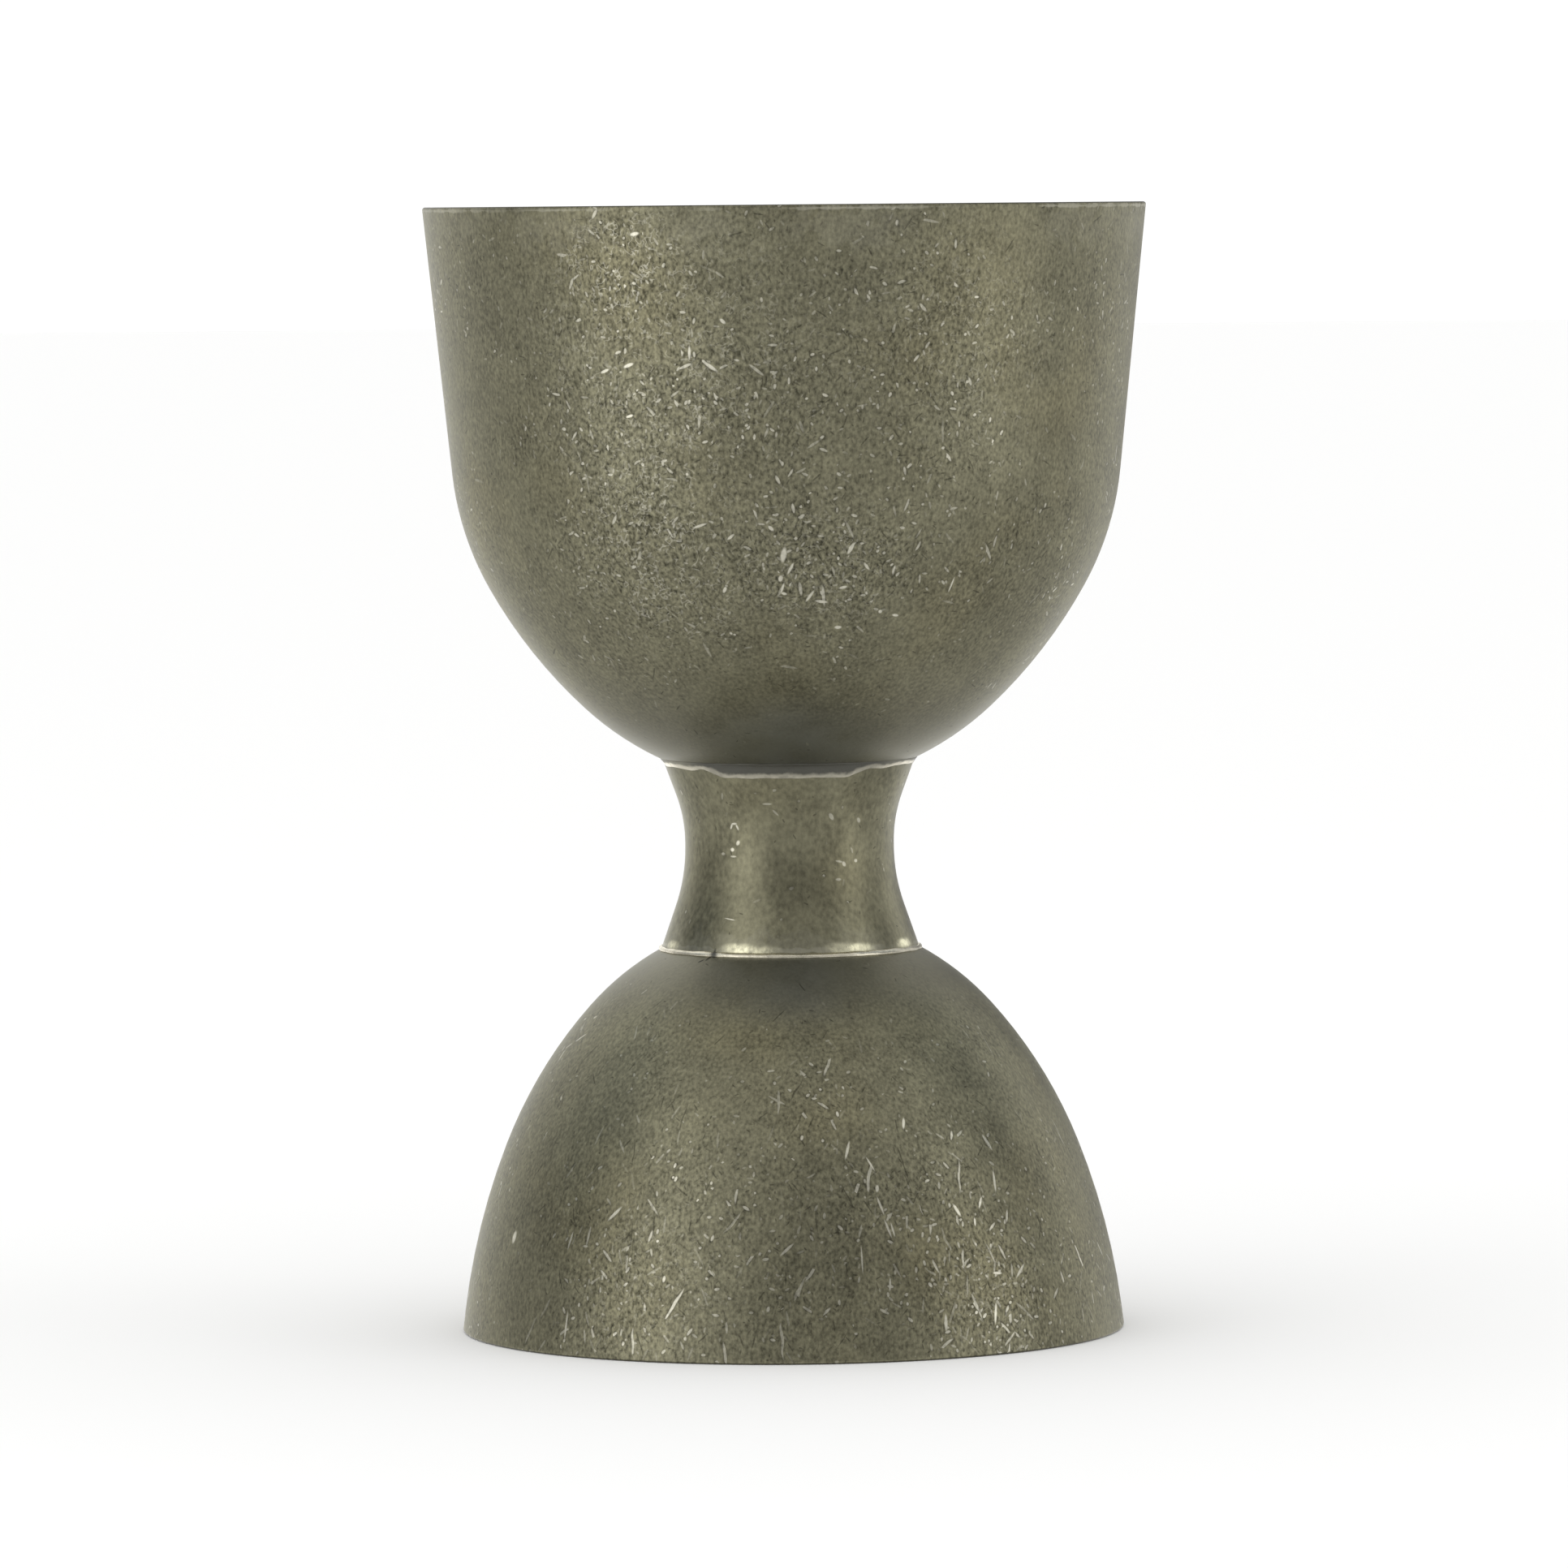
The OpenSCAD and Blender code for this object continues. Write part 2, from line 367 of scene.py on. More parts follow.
def spread_from(place, spots):
    """The sum of soft round patches, each a place, a reach and a strength"""
    total = 0
    for spot, reach, strength in spots:
        distance = place.vector("DISTANCE", spot, output="Value")
        total = distance.step(reach, reach * 0.2) * strength + total
    return total


def band(height, level, reach, ragged=0):
    """1 at a level, and 0 beyond a reach from it"""
    away = height.math("ABSOLUTE", height - level)
    return (away + ragged).step(reach, reach * 0.4)


DARK_GRAIN = (0.086, 0.082, 0.055, 1)
PALE_GRAIN = (0.446, 0.424, 0.284, 1)
WARM_TINT = (1.06, 1.02, 0.93)
# Plainer, less warm steel near a seam
PLAIN_SEAM_STEEL = (0.236, 0.229, 0.184, 1)
# Paler steel painted close to a seam, a painted light that lifts the shade in the crease
SEAM_LIGHT_STEEL = (0.470, 0.450, 0.345, 1)
# Cool grey of a painted reflection, in front of the seams
COOL_REFLECTION_STEEL = (0.330, 0.342, 0.330, 1)
BARE_STEEL = (0.970, 0.935, 0.770, 1)
# Pale steel of the smoother patches, also a painted highlight
POLISHED_GLINT_STEEL = (0.970, 0.930, 0.660, 1)
# Dark of pits and dark strokes, and of the painted shade beside the strokes and along rim edges
GRIME_AND_SHADE = (0.030, 0.028, 0.022, 1)
POLISH_GLINT_SQUAT = 3.4


@dataclass
class Finish:
    """How tumbling left a piece. Nicks are its layers. Worked, coarse and warm places are spots, reaches
    and strengths, and so are smoked, cool grey spots of painted reflection in front of the seams, and
    polished, smoother patches whose pale colour is also a painted highlight. Seams are heights and
    reaches, near which the stones hardly worked and the steel is plainer by seam_grey, and close by also
    painted paler by seam_painted_light, a painted light that lifts the shade in the creases. Rubbed
    levels are heights, reaches and strengths, and the thin dark edges of painted shade in grimed are
    heights and reaches. Marks are bright strokes, and cracks are dark ones."""

    nicks: tuple
    seams: tuple
    warm: tuple
    worked: tuple = ()
    coarse: tuple = ()
    seam_grey: float = 0.6
    seam_painted_light: float = 0.14
    cool_reflection: tuple = ()
    rubbed: tuple = ()
    shaded_edges: tuple = ()
    polished_glints: tuple = ()
    marks: tuple = ()
    cracks: tuple = ()
    dark_grain: tuple = DARK_GRAIN
    pale_grain: tuple = PALE_GRAIN
    grain: float = 0.24
    contrast: float = 1.0
    roughness: float = 0.42


# Sizes of the patterns' patches, in millimetres
BLOTCH_SIZE = 2.6
STAIN_SIZE = 11
WORKED_SIZE = 7
RAGGED_SIZE = 1.2
WORN_SIZE = 8
PIT_SPACING = 0.62
PIT_CLUSTER_SIZE = 3.3
RIPPLE_SIZE = 0.5
SCRATCH_GAP_SIZE = 0.9

# Shapes, levels and depths of the patterns
GRAIN_STRETCH = (1, 1, 1.4)
SEAM_LIGHT_EDGE = (4, 0.5)
THREAD_LEVEL = 0.5
THREAD_SHINE = 0.6
THREAD_SHADOW_LEVEL = 0.57
THREAD_SHADOW_DARKNESS = 0.8
GRAIN_RELIEF = 0.008
BLOTCH_RELIEF = 0.02
NICK_RELIEF = 0.012


class Surface:
    """What the layers of a finish share: the place on the piece in millimetres, its height, the fine
    grain and the wider blotches, how coarse it is, how sheltered a seam left it, how much painted light
    lifts the shade close to a seam, and how far the stones worked it"""

    def __init__(self, place, finish):
        self.place = place
        self.height = place.vector("DOT_PRODUCT", (0, 0, 1), output="Value")
        self.grain = place.noise(finish.grain, 3, stretch=GRAIN_STRETCH)
        self.blotch = place.noise(BLOTCH_SIZE, 3)
        self.coarse = spread_from(place, finish.coarse)
        self.sheltered = self.painted_seam_light = 0
        for level, reach in finish.seams:
            away = self.height.math("ABSOLUTE", self.height - level)
            self.sheltered = away.math("MAXIMUM", self.sheltered, away.step(reach, reach * 0.12))
            self.painted_seam_light = away.math("MAXIMUM", self.painted_seam_light, away.step(*SEAM_LIGHT_EDGE) * finish.seam_painted_light)
        worked = place.noise(WORKED_SIZE, 2).step(0.35, 0.7) * 0.4 + 0.08
        self.worked = (worked + spread_from(place, finish.worked)) * (1 - self.sheltered * 0.9)


def darkened_colour(surface, finish):
    """Mottled dark steel, warmer in places, plainer near the seams, painted paler close by them as
    painted light that lifts the shade in the creases, and painted a cool grey in front of them as a
    painted reflection
    """
    roughened = surface.worked.clamp() * 0.8 + 1.1 + surface.coarse
    tone = (surface.blotch - 0.5) * 0.5 + (surface.grain - 0.5) * roughened * finish.contrast + 0.5
    colour = tone.clamp().mix(finish.dark_grain, finish.pale_grain)
    stain = surface.place.noise(STAIN_SIZE, 2)
    warmth = stain.step(0.5, 0.75) * 0.5 + spread_from(surface.place, finish.warm)
    colour = warmth.mix(colour, colour.vector("MULTIPLY", WARM_TINT))
    patchy = surface.blotch * 0.8 + 0.6
    sheltered = surface.sheltered * surface.sheltered * patchy * finish.seam_grey
    colour = sheltered.mix(colour, PLAIN_SEAM_STEEL)
    # Painted light: close to a seam the steel is painted paler, to lift the shade that the neck and the
    # other cup throw into the crease.
    colour = (surface.painted_seam_light * patchy).mix(colour, SEAM_LIGHT_STEEL)
    # Painted reflection: a cool grey spot in front of a seam stands in for the neutral light reflected
    # there.
    if finish.cool_reflection:
        colour = (spread_from(surface.place, finish.cool_reflection) * patchy).mix(colour, COOL_REFLECTION_STEEL)
    return colour


def pitting(surface):
    """Small dark pits in clusters, where the stones worked most"""
    place = surface.place
    distance = place.node("TexVoronoi", {"Vector": place, "Scale": 1 / PIT_SPACING}, "Distance")
    pits = distance.step(0.22, 0.10) * place.noise(PIT_CLUSTER_SIZE, 1).step(0.42, 0.6)
    return (pits * surface.worked).clamp()


def fine_scratches(surface):
    """Broken, crooked bright threads, and the painted shadows beside them, where it is coarse"""
    ripple = surface.place.noise(RIPPLE_SIZE, 1)
    broken = surface.place.noise(SCRATCH_GAP_SIZE, 1).step(0.44, 0.6) * surface.coarse
    threads, thread_shadows = (
        ripple.math("ABSOLUTE", ripple - level).step(0.05, 0.01) * broken
        for level in (THREAD_LEVEL, THREAD_SHADOW_LEVEL)
    )
    return threads * THREAD_SHINE, thread_shadows * THREAD_SHADOW_DARKNESS


def rubbed_bright(surface, finish, bright):
    """Adds the ragged bands that rubbing left at some levels"""
    for level, reach, strength in finish.rubbed:
        ragged = surface.place.noise(RAGGED_SIZE, 3).step(0.35, 0.75) * reach * 0.8
        worn = surface.place.noise(WORN_SIZE, 2).step(0.38, 0.6) * strength
        rubbed = band(surface.height, level, reach, ragged) * worn
        bright = bright.math("MAXIMUM", bright, rubbed)
    return bright


def polish_glint_mask(surface, finish):
    """Speckled patches that are wider than they are high, where a seam was smoothed by hand. Their pale
    colour is also a painted highlight, where the light glints on the flare.
    """
    squat = surface.place.vector("MULTIPLY", (1, 1, POLISH_GLINT_SQUAT))
    patches = [
        ((x, y, z * POLISH_GLINT_SQUAT), reach, strength)
        for (x, y, z), reach, strength in finish.polished_glints
    ]
    speckle = (surface.grain - 0.5) * 2.0 + (surface.blotch - 0.5) * 1.5 + 0.8
    return (spread_from(squat, patches) * speckle).clamp()


def new_steel(name):
    """Steel without a finish yet, with each point's place on the piece, in millimetres, and the way that
    the piece faces there"""
    material = bpy.data.materials.new(name)
    material.use_nodes = True
    material.node_tree.nodes["Principled BSDF"].inputs["Metallic"].default_value = 1.0
    texture = material.node_tree.nodes.new("ShaderNodeTexCoord")
    place = Wire(texture.outputs["Object"]).vector("MULTIPLY", (1000, 1000, 1000))
    return material, place, Wire(texture.outputs["Normal"])


def lay_finish(material, colour, rough, relief):
    """Feeds a finish to the steel's shader. Relief is in millimetres."""
    shader = material.node_tree.nodes["Principled BSDF"]
    bump = relief.node("Bump", {"Strength": 1.0, "Distance": 0.001, "Height": relief}, "Normal")
    for socket, wire in (("Base Color", colour), ("Roughness", rough), ("Normal", bump)):
        material.node_tree.links.new(wire.socket, shader.inputs[socket])


def tumbled_steel(name, finish, wall_radius):
    """Steel that was darkened and then tumbled with stones. Marks need the wall's radius at a height."""
    material, place, facing = new_steel(name)
    around = facing.node("VectorMath", {0: (0, 0, 1), 1: facing}, operation="CROSS_PRODUCT")
    around = around.vector("NORMALIZE")
    upward = facing.vector("CROSS_PRODUCT", around)
    surface = Surface(place, finish)
    grain, blotch = surface.grain, surface.blotch

    layers = [nick_layer(place, around, upward, layer, surface.worked) for layer in finish.nicks]
    nicks, shades = layers[0]
    relief = grain * GRAIN_RELIEF + blotch * BLOTCH_RELIEF - nicks * NICK_RELIEF
    if finish.coarse:
        layers.append(fine_scratches(surface))
    for strokes, dark_strokes_and_shadows in layers[1:]:
        nicks = nicks.math("MAXIMUM", nicks, strokes)
        shades = shades.math("MAXIMUM", shades, dark_strokes_and_shadows)
    nicks = nicks * (grain + 0.22)
    gleam = grain * 0.8 + 0.5
    for mark in finish.marks:
        stroke = mark_mask(place, mark, wall_radius(mark.height)) * gleam * mark.shine
        nicks = nicks.math("MAXIMUM", nicks, stroke)
    pits = pitting(surface)
    for crack in finish.cracks:
        dark = mark_mask(place, crack, wall_radius(crack.height)) * 1.3
        pits = pits.math("MAXIMUM", pits, dark)

    colour = darkened_colour(surface, finish)
    # Pits and dark strokes are darkened here, and so are the painted shadows beside the strokes.
    colour = pits.math("MAXIMUM", pits * 0.65, shades * 0.3).mix(colour, GRIME_AND_SHADE)
    bright = rubbed_bright(surface, finish, nicks)
    polish_glint = 0
    # The smoother patches are painted pale, also a painted highlight, and are less rough.
    if finish.polished_glints:
        polish_glint = polish_glint_mask(surface, finish)
        colour = polish_glint.mix(colour, POLISHED_GLINT_STEEL)
    bright = (bright * (1 - polish_glint)).clamp()
    colour = bright.mix(colour, BARE_STEEL)
    # Painted shade: thin dark lines along rim edges
    for level, reach in finish.shaded_edges:
        colour = (band(surface.height, level, reach) * 0.85).mix(colour, GRIME_AND_SHADE)
    rough = finish.roughness + (grain - 0.5) * 0.12 + (blotch - 0.5) * 0.1 - (bright + polish_glint) * 0.16
    lay_finish(material, colour, rough, relief)
    return material


def on_wall(radius, azimuth, height):
    """A place on a round wall. Azimuth is in degrees round from the front, to the right."""
    angle = math.radians(azimuth)
    return (radius * math.sin(angle), -radius * math.cos(angle), height)


LARGE = Cup(
    rim_d=52.9, side_slope=5.9, side_length=19.6, bend_r=21.9, bend_slope=29.1,
    flank_r=36.0, flank_slope=47.0, wall=1.0,
)
LARGE_LINES = (7.62, 15.75)
LARGE_BOTTOM_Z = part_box("large_cup")[0].z * 1000
LARGE_RIM_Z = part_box("large_cup")[1].z * 1000
NECK_TOP_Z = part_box("neck")[1].z * 1000


def on_large(azimuth, height):
    return on_wall(LARGE.outer_r(LARGE_RIM_Z - height), azimuth, height)


LARGE_FINISH = Finish(
    nicks=(
        Nicks(patch=1.7, length=1.2, width=0.17, bend=0.1, lean=90, spread=90, share=0.17),
        Nicks(patch=0.9, length=0.7, width=0.14, bend=0.3, lean=90, spread=90, share=0.27),
        Nicks(patch=0.48, length=0.36, width=0.14, bend=0.3, lean=90, spread=90, share=0.34),
    ),
    worked=(
        (on_large(-22, 71), 15, 0.36),
        (on_large(15, 66), 17, 0.26),
        (on_large(-14, 71.5), 4.5, 0.4),
        (on_large(-27, 78), 6.0, 0.2),
        (on_large(48, 74), 6.0, 0.25),
        (on_large(-26, 66), 5.0, 0.4),
        (on_large(0, 57), 5.0, 1.2),
        (on_large(13, 56.5), 4.5, 1.0),
        (on_large(-31, 59), 8.0, 0.45),
        (on_large(30, 74), 7.0, 0.3),
        (on_large(165, 66), 15, 0.5),
        (on_large(150, 72), 6.0, 0.8),
        (on_large(-120, 64), 13, 0.5),
        (on_large(95, 60), 10, 0.4),
    ),
    coarse=(
        (on_large(-20, 72), 15, 0.56),
        (on_large(-28, 79), 6, 0.5),
        (on_large(-24, 57), 10, 0.8),
        (on_large(8, 56), 8, 0.45),
        (on_large(28, 73), 12, 0.35),
        (on_large(160, 68), 14, 0.6),
    ),
    warm=(
        (on_large(-24, 76), 7, 0.45),
        (on_large(32, 77), 8, 0.4),
        (on_large(-170, 60), 9, 0.4),
    ),
    seams=((NECK_TOP_Z, 10.5),),
    # Painted reflection: a cool grey spot in front of the seam
    cool_reflection=((on_large(2, NECK_TOP_Z + 1), 8, 0.55),),
    rubbed=((LARGE_RIM_Z - 0.26, 0.24, 0.34), (LARGE_RIM_Z - 1.5, 2.6, 0.07)),
    # Painted shade: a thin dark line along the rim's top edge
    shaded_edges=((LARGE_RIM_Z, 0.09),),
    marks=(
        Mark(-0.6, 57.6, 80, 1.1, 0.42),
        Mark(0.6, 56.6, 62, 0.9, 0.2),
        Mark(-1.2, 55.9, 75, 0.45, 0.32),
        Mark(-0.9, 55.2, 72, 0.8, 0.17),
        Mark(-0.6, 54.8, -15, 0.4, 0.2),
        Mark(-15.0, 59.7, 18, 1.1, 0.18),
        Mark(-2.7, 59.5, -45, 0.5, 0.25),
        Mark(-9.7, 58.9, 38, 0.65, 0.2),
        Mark(-11.6, 55.1, 60, 0.5, 0.24),
        Mark(4.2, 54.6, 55, 1.0, 0.2),
        Mark(6.4, 54.2, -8, 0.9, 0.22),
        Mark(11.2, 58.0, 62, 0.9, 0.28),
        Mark(14.3, 56.7, -50, 0.65, 0.2),
        Mark(10.3, 55.2, 10, 0.6, 0.2),
        Mark(10.1, 52.3, 0, 0.5, 0.24),
        Mark(18.2, 53.4, 0, 0.3, 0.26),
        Mark(21.5, 53.1, -10, 0.5, 0.2),
        Mark(31.9, 55.2, 80, 1.1, 0.15),
        Mark(-15.5, 72.0, 88, 1.0, 0.2),
        Mark(-12.1, 71.0, -35, 1.2, 0.26),
        Mark(-30.5, 70.7, 20, 0.75, 0.22),
        Mark(-26.1, 71.1, 20, 0.85, 0.26),
        Mark(-26.4, 67.5, 15, 0.6, 0.2),
        Mark(-23.8, 80.4, 10, 0.7, 0.28),
        Mark(-9.9, 74.2, -40, 0.5, 0.25),
    ),
)

large_steel = tumbled_steel(
    "tumbled steel of the large cup", LARGE_FINISH, lambda height: LARGE.outer_r(LARGE_RIM_Z - height)
)
large_outline = cup_outline(LARGE, side_lines=LARGE_LINES)
bmesh.ops.translate(large_outline, verts=large_outline.verts, vec=(0, 0, LARGE_BOTTOM_Z))
large_cup = turned_piece("large_cup_shell", large_outline, large_steel)
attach(large_cup, "root")
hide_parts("large_cup")


# Small cup: the 30 ml measure, drawn from the same sheet and turned over, so that the jigger stands on
# its rim. Its dome is welded to the foot of the neck. It knocks against the bar most, so its
# nicks are longer and run up and down.

SMALL = Cup(
    rim_d=48.6, side_slope=7.3, side_length=1.5, bend_r=50.8, bend_slope=21.5,
    flank_r=33.8, flank_slope=41.8, wall=1.0,
)
SMALL_LINES = (3.9, 10.1)
SMALL_TOP_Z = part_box("small_cup")[1].z * 1000
NECK_FOOT_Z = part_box("neck")[0].z * 1000


def on_small(azimuth, height):
    return on_wall(SMALL.outer_r(height), azimuth, height)


SMALL_FINISH = Finish(
    nicks=(
        Nicks(patch=2.2, length=2.0, width=0.16, bend=0.3, lean=85, spread=35, share=0.34),
        Nicks(patch=1.1, length=1.1, width=0.15, bend=0.2, lean=90, spread=60, share=0.36),
        Nicks(patch=0.5, length=0.36, width=0.15, bend=0.15, lean=90, spread=90, share=0.36),
    ),
    worked=(
        (on_small(-22, 8), 14, 0.35),
        (on_small(32, 8), 13, 0.35),
        (on_small(-33, 4), 7.0, 0.6),
        (on_small(36, 4.5), 7.0, 1.1),
        (on_small(15, 11), 4.0, 0.45),
        (on_small(30, 12), 5.0, 0.45),
        (on_small(2, 17), 5.0, 0.4),
        (on_small(140, 6), 13, 0.5),
        (on_small(155, 5), 6.0, 0.8),
        (on_small(-130, 7), 11, 0.6),
        (on_small(90, 10), 8, 0.4),
    ),
    coarse=((on_small(-26, 6), 9, 0.3), (on_small(37, 4.5), 6, 0.3)),
    warm=(
        (on_small(33, 6), 7, 0.45),
        (on_small(-28, 5), 6, 0.3),
        (on_small(170, 8), 8, 0.4),
    ),
    seams=((NECK_FOOT_Z, 7.0),),
    # Painted reflection: a cool grey spot in front of the seam
    cool_reflection=((on_small(0, 27.6), 8, 0.5),),
    # Painted shadow: a thin dark line where the rim stands on the floor
    shaded_edges=((0, 0.16),),
    marks=(
        Mark(11.1, 14.9, 72, 1.3, 0.2),
        Mark(15.5, 13.9, -62, 1.1, 0.14),
        Mark(16.3, 12.2, 80, 0.5, 0.26),
        Mark(16.6, 11.0, -72, 1.3, 0.17),
        Mark(17.6, 9.4, -72, 1.3, 0.17),
        Mark(18.5, 9.3, -78, 1.0, 0.15),
        Mark(24.0, 16.6, 75, 0.8, 0.22),
        Mark(43.3, 14.9, -65, 1.2, 0.26),
        Mark(42.4, 12.2, 80, 1.6, 0.2),
        Mark(32.1, 10.4, -62, 1.0, 0.26),
        Mark(37.7, 10.8, 62, 0.9, 0.2),
        Mark(35.6, 9.5, 85, 0.6, 0.18),
        Mark(43.5, 9.7, 70, 0.9, 0.18),
        Mark(38.8, 5.8, -5, 0.8, 0.2),
        Mark(44.3, 5.8, 42, 1.3, 0.22),
        Mark(37.3, 3.0, 80, 1.5, 0.22),
        Mark(27.0, 2.6, 88, 1.2, 0.24),
        Mark(17.1, 5.5, 85, 0.9, 0.16),
        Mark(12.3, 7.3, 90, 1.9, 0.12),
        Mark(-35.1, 10.3, 45, 1.4, 0.24),
        Mark(-44.6, 8.2, 80, 1.3, 0.16),
        Mark(-42.9, 2.2, 88, 2.0, 0.17),
        Mark(-62.0, 7.9, 85, 0.9, 0.5),
        Mark(-1.1, 8.1, 42, 1.2, 0.2),
    ),
    cracks=(Mark(-37.5, 27.8, 60, 0.4, 0.2), Mark(-40.0, 27.6, 30, 0.4, 0.13)),
)

small_steel = tumbled_steel("tumbled steel of the small cup", SMALL_FINISH, SMALL.outer_r)
small_outline = cup_outline(SMALL, bend_lines=SMALL_LINES)
turned_over = Matrix.Translation((0, 0, SMALL_TOP_Z)) @ Matrix.Rotation(math.pi, 4, "X")
bmesh.ops.transform(small_outline, verts=small_outline.verts, matrix=turned_over)
small_cup = turned_piece("small_cup_shell", small_outline, small_steel)
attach(small_cup, "root")
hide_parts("small_cup")


# Neck: a hollow steel tube, spun to a waist, whose flared ends are hollowed to sit on the two round
# bottoms. It is out of the way of knocks, so it is smoother than the cups. The foot was rubbed bright
# when its weld was blended.

WAIST_R = 7.65
WAIST_Z = 35.418
BAND_H = 0.3
NECK_WALL = 1.0
HEAD_CURVE_R = 10.4
HEAD_SLOPE = 20.2
HEAD_LENGTH = 2.7
FOOT_CURVE_R = 13.1
FOOT_SLOPE = 19.2
FOOT_LENGTH = 3.3
NECK_SEAT_GAP = 0.02
NECK_STEP = 0.5
FOOT_MIDDLE_R = 9.3


def flare_seat(curve_r, slope, length, ball_rise, ball_r):
    """Where a flare that starts at the waist sits on a ball: the radius and the rise of its outer end,
    the length of its inner side, and the angle that its end face turns about the ball. The ball's
    centre is this far above the waist."""
    angle = math.radians(slope)
    along = Vector((math.sin(angle), math.cos(angle)))
    out = Vector((math.cos(angle), -math.sin(angle)))
    shoulder = Vector((WAIST_R + curve_r, 0)) - curve_r * out
    outer_end = shoulder + length * along
    from_ball = Vector((0, -ball_rise))
    inner_start = shoulder - NECK_WALL * out + from_ball
    half = inner_start.dot(along)
    inner_length = -half - math.sqrt(half ** 2 - inner_start.length_squared + ball_r ** 2)
    inner_end = inner_start + inner_length * along
    return outer_end, inner_length, math.degrees((outer_end + from_ball).angle(inner_end))


def flared_end(pen, radii, turn, lengths, ball_z, swing):
    """One flared end of the neck's wall: out along one side, across the seat and back along the other"""
    pen.curve(radii[0], turn)
    pen.line(lengths[0], step=NECK_STEP)
    outwards = pen.heading
    pen.swing(Vector((0, 0, ball_z)), swing)
    pen.heading = outwards + 180
    pen.line(lengths[1], step=NECK_STEP)
    pen.curve(radii[1], -turn)


band_top_z = WAIST_Z + BAND_H
large_ball_z = LARGE_BOTTOM_Z + LARGE.ball_r()
small_ball_z = SMALL_TOP_Z - SMALL.ball_r()
head_end, head_inner_length, head_swing = flare_seat(
    HEAD_CURVE_R, HEAD_SLOPE, HEAD_LENGTH, large_ball_z - band_top_z, LARGE.ball_r() + NECK_SEAT_GAP
)
foot_end, foot_inner_length, foot_swing = flare_seat(
    FOOT_CURVE_R, FOOT_SLOPE, FOOT_LENGTH, WAIST_Z - small_ball_z, SMALL.ball_r() + NECK_SEAT_GAP
)
neck_pen = Pen(WAIST_R, band_top_z, 90)
flared_end(
    neck_pen, (HEAD_CURVE_R, HEAD_CURVE_R + NECK_WALL), -HEAD_SLOPE,
    (HEAD_LENGTH, head_inner_length), large_ball_z, -head_swing,
)
neck_pen.line(BAND_H)
flared_end(
    neck_pen, (FOOT_CURVE_R + NECK_WALL, FOOT_CURVE_R), FOOT_SLOPE,
    (foot_inner_length, FOOT_LENGTH), small_ball_z, -foot_swing,
)
neck_pen.line(BAND_H)


def neck_r(height):
    """The neck's outside radius at a height, with its flared ends taken as curved throughout"""
    rise, curve_r = height - band_top_z, HEAD_CURVE_R
    if height < WAIST_Z:
        rise, curve_r = WAIST_Z - height, FOOT_CURVE_R
    return WAIST_R + curve_r - math.sqrt(curve_r ** 2 - max(0, rise) ** 2)


def on_foot(azimuth, height):
    return on_wall(FOOT_MIDDLE_R, azimuth, height)


NECK_FINISH = Finish(
    nicks=(
        Nicks(patch=1.3, length=0.6, width=0.16, bend=0.2, lean=90, spread=90, share=0.16),
        Nicks(patch=0.6, length=0.3, width=0.15, bend=0.2, lean=90, spread=90, share=0.16),
    ),
    warm=((on_foot(30, 34), 4, 0.5), (on_foot(-10, 41), 5, 0.3), (on_foot(170, 35), 5, 0.4)),
    seams=((NECK_FOOT_Z, 3.0), (NECK_TOP_Z, 1.6)),
    seam_grey=0.1, seam_painted_light=0,
    rubbed=((NECK_FOOT_Z + 0.4, 0.4, 0.25), (NECK_FOOT_Z + 0.6, 2.0, 0.09)),
    cracks=(Mark(-36.0, 28.3, 80, 0.5, 0.24),),
    pale_grain=(0.460, 0.437, 0.292, 1),
    # Smoother patches on the foot, painted pale, also painted highlights where the light glints on the
    # flare
    polished_glints=(
        (on_foot(-24, NECK_FOOT_Z + 0.5), 1.9, 1.0),
        (on_foot(-12, NECK_FOOT_Z + 0.4), 1.7, 0.8),
        (on_foot(24, NECK_FOOT_Z + 0.5), 1.9, 0.8),
        (on_foot(34, NECK_FOOT_Z + 0.5), 1.7, 0.8),
        (on_foot(64, NECK_FOOT_Z + 0.55), 1.6, 1.0),
        (on_foot(-68, NECK_FOOT_Z + 0.5), 1.5, 0.9),
        (on_foot(125, NECK_FOOT_Z + 0.5), 2.2, 0.8),
        (on_foot(-150, NECK_FOOT_Z + 0.5), 2.3, 0.8),
    ),
    marks=(
        Mark(-32.8, 37.3, 65, 0.45, 0.16),
        Mark(-31.0, 37.5, 5, 0.45, 0.16),
        Mark(-29.2, 37.25, -65, 0.45, 0.16),
        Mark(-29.3, 36.1, 60, 0.4, 0.28, 0.7),
        Mark(-32.9, 35.6, 0, 0.32, 0.28, 0.9),
        Mark(-32.3, 35.1, 0, 0.5, 0.14, 0.6),
        Mark(-11.3, 39.0, 0, 0.7, 0.16, 0.5),
        Mark(-7.2, 38.35, -45, 0.6, 0.16, 0.4),
        Mark(22.7, 38.0, -55, 0.6, 0.3, 0.6),
        Mark(40.0, 37.65, -50, 0.45, 0.28, 0.5),
        Mark(30.9, 34.5, -60, 0.4, 0.28, 0.6),
        Mark(28.0, 34.7, -12, 0.6, 0.16, 0.5),
        Mark(38.8, 34.7, 0, 0.3, 0.26, 0.55),
        Mark(26.9, 33.4, 0, 0.45, 0.2, 0.5),
        Mark(-30.9, 30.6, -8, 0.9, 0.08),
    ),
    grain=0.34, contrast=0.68, roughness=0.36,
)
neck_steel = tumbled_steel("tumbled steel of the neck", NECK_FINISH, neck_r)
neck = turned_piece("neck_tube", neck_pen.mesh, neck_steel)
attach(neck, "root")
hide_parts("neck")


# Welds: the two thin beads that close the seams at the ends of the neck. Each fills the corner between
# the neck's flared end and a round bottom. It was run round by hand, so its edges wander and it sags
# onto the neck in places. Only its edge on the neck was blended bright.


